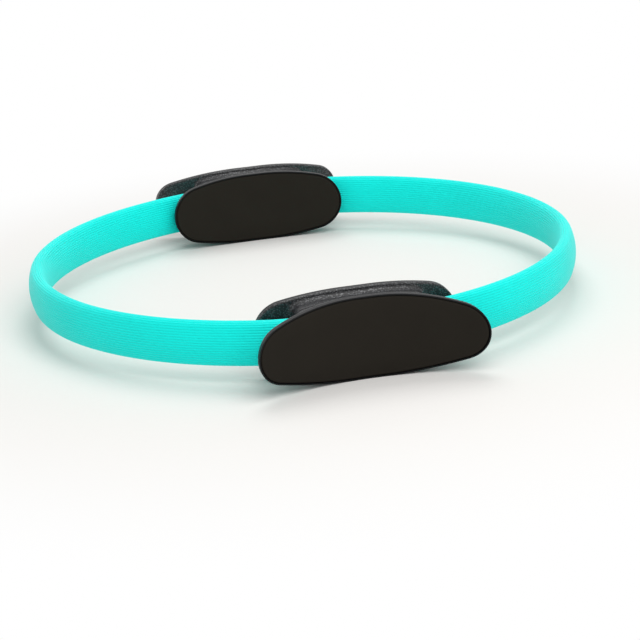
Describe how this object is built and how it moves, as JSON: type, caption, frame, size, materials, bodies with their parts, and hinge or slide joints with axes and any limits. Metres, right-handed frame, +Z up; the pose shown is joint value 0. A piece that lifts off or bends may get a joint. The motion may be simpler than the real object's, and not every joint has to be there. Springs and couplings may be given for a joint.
{
  "type": "pilates ring",
  "caption": "Springy hoop in ribbed foam sleeves with opposed padded handles, squeezed between hands or legs for resistance exercise.",
  "frame": {"origin": "centre of the hoop, half way between the handles, in the hoop's middle plane", "axes": "+Z up, square to the hoop's plane; +Y along the handles' axis, from the front handle to the back one; +X to the right"},
  "size_m": [0.352, 0.3922, 0.049],
  "materials": {
    "spring_strip": "pultruded glass fibre",
    "foam_sleeve": "extruded foam with fine ribs along it",
    "handle_shell": "moulded with a fine spark-eroded grain",
    "handle_pad": "matt closed-cell foam",
    "fastener": "zinc plated"
  },
  "bodies": {
    "hoop_spring": {"left_spring_strip": "spring_strip", "right_spring_strip": "spring_strip"},
    "front_handle": {"front_outer_shell": "handle_shell", "front_inner_shell": "handle_shell", "front_outer_pad": "handle_pad", "front_inner_pad": "handle_pad", "front_strip_pins": "fastener", "front_shell_screws": "fastener"},
    "back_handle": {"back_outer_shell": "handle_shell", "back_inner_shell": "handle_shell", "back_outer_pad": "handle_pad", "back_inner_pad": "handle_pad", "back_strip_pins": "fastener", "back_shell_screws": "fastener"},
    "left_side": {"left_foam_sleeve": "foam_sleeve"},
    "right_side": {"right_foam_sleeve": "foam_sleeve"}
  },
  "joints": [
    {"name": "front_press", "type": "slide", "parent": "hoop_spring", "child": "front_handle", "axis": [0, 1, 0], "range_m": [-0.01, 0.035], "stiffness_N_per_m": 4380, "deforming": ["left_spring_strip", "right_spring_strip", "left_foam_sleeve", "right_foam_sleeve"]},
    {"name": "back_press", "type": "slide", "parent": "hoop_spring", "child": "back_handle", "axis": [0, -1, 0], "range_m": [-0.01, 0.035], "stiffness_N_per_m": 4380},
    {"name": "left_bow", "type": "slide", "parent": "hoop_spring", "child": "left_side", "axis": [-1, 0, 0], "range_m": [-0.0092, 0.0322]},
    {"name": "right_bow", "type": "slide", "parent": "hoop_spring", "child": "right_side", "axis": [1, 0, 0], "range_m": [-0.0092, 0.0322]}
  ],
  "couplings": [
    {"joint": "back_press", "follows": "front_press", "ratio": 1},
    {"joint": "left_bow", "follows": "front_press", "ratio": 0.92},
    {"joint": "right_bow", "follows": "front_press", "ratio": 0.92}
  ]
}
